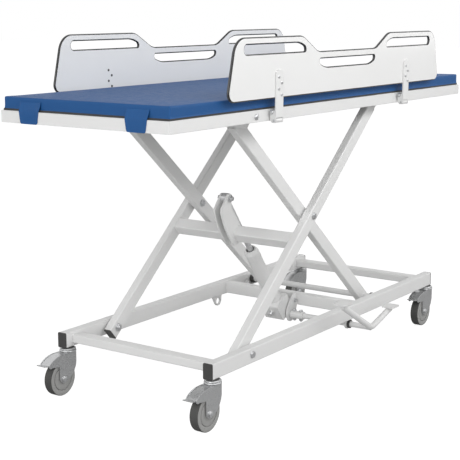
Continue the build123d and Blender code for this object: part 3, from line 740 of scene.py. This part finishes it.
def mattress_shell():
    """The cover as cut: flat panels with rounded edges, before the foam fills it."""
    xs = graded(PAD_HALF_LENGTH)
    ys = graded(PAD_HALF_WIDTH)
    zs = [PAD_LOW, 959.4, 963, 969, 975, 981, 986, PAD_HIGH - 2.6, PAD_HIGH - 1.2, PAD_HIGH]
    bm = bmesh.new()
    found = {}

    def corner(i, j, k):
        if (i, j, k) not in found:
            spot = eased(xs[i], ys[j], zs[k])
            found[i, j, k] = bm.verts.new(at(spot.x, spot.y, spot.z))
        return found[i, j, k]

    def patch(*corners):
        bm.faces.new([corner(*cut) for cut in corners])

    last_x, last_y, last_z = len(xs) - 1, len(ys) - 1, len(zs) - 1
    for i in range(last_x):
        for j in range(last_y):
            for k in (0, last_z):
                patch((i, j, k), (i + 1, j, k), (i + 1, j + 1, k), (i, j + 1, k))
        for k in range(last_z):
            for j in (0, last_y):
                patch((i, j, k), (i + 1, j, k), (i + 1, j, k + 1), (i, j, k + 1))
    for j in range(last_y):
        for k in range(last_z):
            for i in (0, last_x):
                patch((i, j, k), (i, j + 1, k), (i, j + 1, k + 1), (i, j, k + 1))
    bmesh.ops.recalc_face_normals(bm, faces=bm.faces)
    mesh = bpy.data.meshes.new("mattress_cover")
    bm.to_mesh(mesh)
    bm.free()
    return mesh


def settled_mesh(piece):
    return bpy.data.meshes.new_from_object(piece.evaluated_get(bpy.context.evaluated_depsgraph_get()))


def filled_out(mesh):
    """Blows the cover up against its foam: the board holds the bottom, and the foam lets the rest
    move a few millimetres only."""
    cover = bpy.data.objects.new("mattress_fill", mesh)
    scene.collection.objects.link(cover)
    start = np.array([vert.co for vert in mesh.vertices])
    held = cover.vertex_groups.new(name="on_board")
    held.add([i for i, co in enumerate(start) if co[2] < HELD_BELOW], 1.0, "REPLACE")
    cloth = cover.modifiers.new("cloth", "CLOTH")
    cloth.settings.quality = 6
    cloth.settings.mass = 0.4
    cloth.settings.tension_stiffness = 30
    cloth.settings.compression_stiffness = 30
    cloth.settings.shear_stiffness = 12
    cloth.settings.bending_stiffness = 6
    cloth.settings.use_pressure = True
    cloth.settings.uniform_pressure_force = 4
    cloth.settings.vertex_group_mass = "on_board"
    cloth.settings.effector_weights.gravity = 0
    for number in range(1, FILLING_FRAMES + 1):
        scene.frame_set(number)
    blown = settled_mesh(cover)
    moved = np.array([vert.co for vert in blown.vertices]) - start
    reach = np.linalg.norm(moved, axis=1)
    scale = FOAM_GIVE * np.tanh(reach / FOAM_GIVE) / np.maximum(reach, 1e-9)
    blown.vertices.foreach_set("co", (start + moved * scale[:, None]).ravel())
    scene.frame_set(1)
    bpy.data.objects.remove(cover)
    return blown


def mattress():
    mesh = mattress_shell()
    mesh = filled_out(mesh)
    piece = keep_mesh(mesh, "mattress_pad", "top", "blue_vinyl", 60)
    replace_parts(piece, "mattress")


STRAP_PATH = [(-940.6, 979.6), (-941.6, 977.0), (-943.0, 970.0), (-946.6, 961.5)]
STRAP_PATH += [(-949.6, 954.5), (-950.4, 949.5), (-950.5, 942.0), (-950.5, 931.0)]
STRAP_PATH += [(-950.5, 922.0), (-950.5, 918.0), (-950.6, 916.0), (-950.7, 915.0)]
STRAP_OFFSET = 206
STRAP_THICK = 1.6
STRAP_COLUMNS = (-1, -0.97, -0.93, -0.87, -0.84, -0.5, 0, 0.5, 0.84, 0.87, 0.93, 0.97, 1)


def strap_half_width(z):
    """Tapers towards the loose end, whose corners are rounded."""
    width = np.interp(z, (915, 952, 979), (34, 40, 42))
    return width - np.interp(z, (915, 916, 918, 922), (5.0, 2.6, 1.0, 0))


def strap_raise(column):
    """The turned and stitched hem stands up along both long edges."""
    return 0.5 if 0.865 < abs(column) < 0.975 else 0.0


def mattress_strap(end, sign):
    bm = bmesh.new()
    layers = []
    for lift in (0.0, STRAP_THICK):
        rows = []
        for number, (x, z) in enumerate(STRAP_PATH):
            before = Vector(STRAP_PATH[max(number - 1, 0)])
            after = Vector(STRAP_PATH[min(number + 1, len(STRAP_PATH) - 1)])
            way = (after - before).normalized()
            out = Vector((way.y, -way.x))
            row = []
            for column in STRAP_COLUMNS:
                proud = lift + (strap_raise(column) if lift else 0.0)
                y = sign * STRAP_OFFSET + column * strap_half_width(z)
                row.append(bm.verts.new(at(end * -(x + out.x * proud), y, z + out.y * proud)))
            rows.append(row)
        layers.append(rows)
    inner, outer = layers
    last_row = len(STRAP_PATH) - 1
    last_column = len(STRAP_COLUMNS) - 1
    for rows in layers:
        for low, high in zip(rows, rows[1:]):
            for i in range(last_column):
                bm.faces.new((low[i], low[i + 1], high[i + 1], high[i]))
    for row in (0, last_row):
        for i in range(last_column):
            bm.faces.new((inner[row][i], inner[row][i + 1], outer[row][i + 1], outer[row][i]))
    for column in (0, last_column):
        for i in range(last_row):
            bm.faces.new((inner[i][column], inner[i + 1][column], outer[i + 1][column], outer[i][column]))
    where = "foot" if end < 0 else "head"
    side = "right" if sign < 0 else "left"
    strap = keep_piece(bm, f"strap_{where}_{side}", "top", "blue_vinyl", 50)
    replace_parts(strap, "mattress_straps")


# Stage


FLOOR_HALF = 30
FLOOR_LEVEL = -0.0005


def lay_floor():
    bm = bmesh.new()
    for x, y in ((-1, -1), (1, -1), (1, 1), (-1, 1)):
        bm.verts.new((x * FLOOR_HALF, y * FLOOR_HALF, FLOOR_LEVEL))
    bm.faces.new(bm.verts)
    mesh = bpy.data.meshes.new("studio_floor")
    bm.to_mesh(mesh)
    bm.free()
    floor = bpy.data.objects.new("studio_floor", mesh)
    scene.collection.objects.link(floor)
    material = bpy.data.materials.new("pale_floor")
    material.use_nodes = True
    tree = material.node_tree
    tree.nodes.clear()
    bounce = place(tree, "BsdfDiffuse", {"Color": (0.55, 0.55, 0.55, 1)})
    seen = place(tree, "BsdfDiffuse", {"Color": (0.25, 0.25, 0.25, 1)})
    glow = place(tree, "Emission", {"Color": (1, 1, 1, 1), "Strength": 0.93})
    shown = place(tree, "AddShader", {0: seen.outputs[0], 1: glow.outputs[0]})
    camera_ray = place(tree, "LightPath").outputs["Is Camera Ray"]
    mixed = place(tree, "MixShader", {0: camera_ray, 1: bounce.outputs[0], 2: shown.outputs[0]})
    output = place(tree, "OutputMaterial")
    tree.links.new(mixed.outputs[0], output.inputs["Surface"])
    mesh.materials.append(material)


# Watts, size, place and what the lamp points at
STUDIO_LAMPS = {
    "side_strip": (25.0, (4.0, 0.6), (0.0, -1.75, 1.95), (0.0, 0.0, 0.95)),
    "front_panel": (27.0, (2.5, 1.5), (-3.6, -0.3, 1.3), (0.0, 0.0, 0.7)),
}


def light_studio():
    """Two soft lamps, and a white surround that lights less from above."""
    world = bpy.data.worlds.new("studio")
    scene.world = world
    world.use_nodes = True
    tree = world.node_tree
    tree.nodes.clear()
    height = place(tree, "SeparateXYZ", {0: place(tree, "TexCoord").outputs["Generated"]}).outputs[2]
    dimming = remap(tree, height, 0.0, 1.0, 1.39, 0.05)
    fill = place(tree, "Background", {"Color": (1, 1, 1, 1), "Strength": dimming})
    seen = place(tree, "Background", {"Color": (1, 1, 1, 1), "Strength": 1.0})
    path = place(tree, "LightPath").outputs
    either = place(
        tree, "Math", {0: path["Is Camera Ray"], 1: path["Is Glossy Ray"]}, operation="MAXIMUM"
    )
    mixed = place(tree, "MixShader", {0: either.outputs[0], 1: fill.outputs[0], 2: seen.outputs[0]})
    output = place(tree, "OutputWorld")
    tree.links.new(mixed.outputs[0], output.inputs["Surface"])
    for name, (power, size, spot, target) in STUDIO_LAMPS.items():
        lamp = bpy.data.lights.new(name, "AREA")
        lamp.shape = "RECTANGLE"
        lamp.size, lamp.size_y = size
        lamp.energy = power
        stand = bpy.data.objects.new(name, lamp)
        scene.collection.objects.link(stand)
        stand.location = spot
        stand.rotation_mode = "QUATERNION"
        stand.rotation_quaternion = (Vector(target) - Vector(spot)).to_track_quat("-Z", "Y")


# The camera fitted to the photograph
CAMERA_PLACE = (-3.45434, -2.24586, 1.25882)
CAMERA_DOWN = 10.83
CAMERA_HEADING = 34.95
FOCAL_LENGTH = 91.23


def stand_camera():
    lens = bpy.data.cameras.new("photo_camera")
    lens.sensor_width = 36
    lens.lens = FOCAL_LENGTH
    lens.clip_start = 0.05
    lens.clip_end = 200
    camera = bpy.data.objects.new("photo_camera", lens)
    camera.location = CAMERA_PLACE
    camera.rotation_euler = (math.radians(90 - CAMERA_DOWN), 0, math.radians(CAMERA_HEADING - 90))
    scene.collection.objects.link(camera)
    scene.camera = camera


finish_frame_parts()
pivot_bolts()
horn_pin()
pump_details()
pedal_clamp()
weld_beads()
for side, sign in SIDES.items():
    rail_panel(side, sign)
rail_fasteners()
casters()
mattress()
for end in (-1, 1):
    for sign in SIDES.values():
        mattress_strap(end, sign)
lay_floor()
light_studio()
stand_camera()
scene.view_settings.view_transform = "Standard"

bpy.context.view_layer.update()
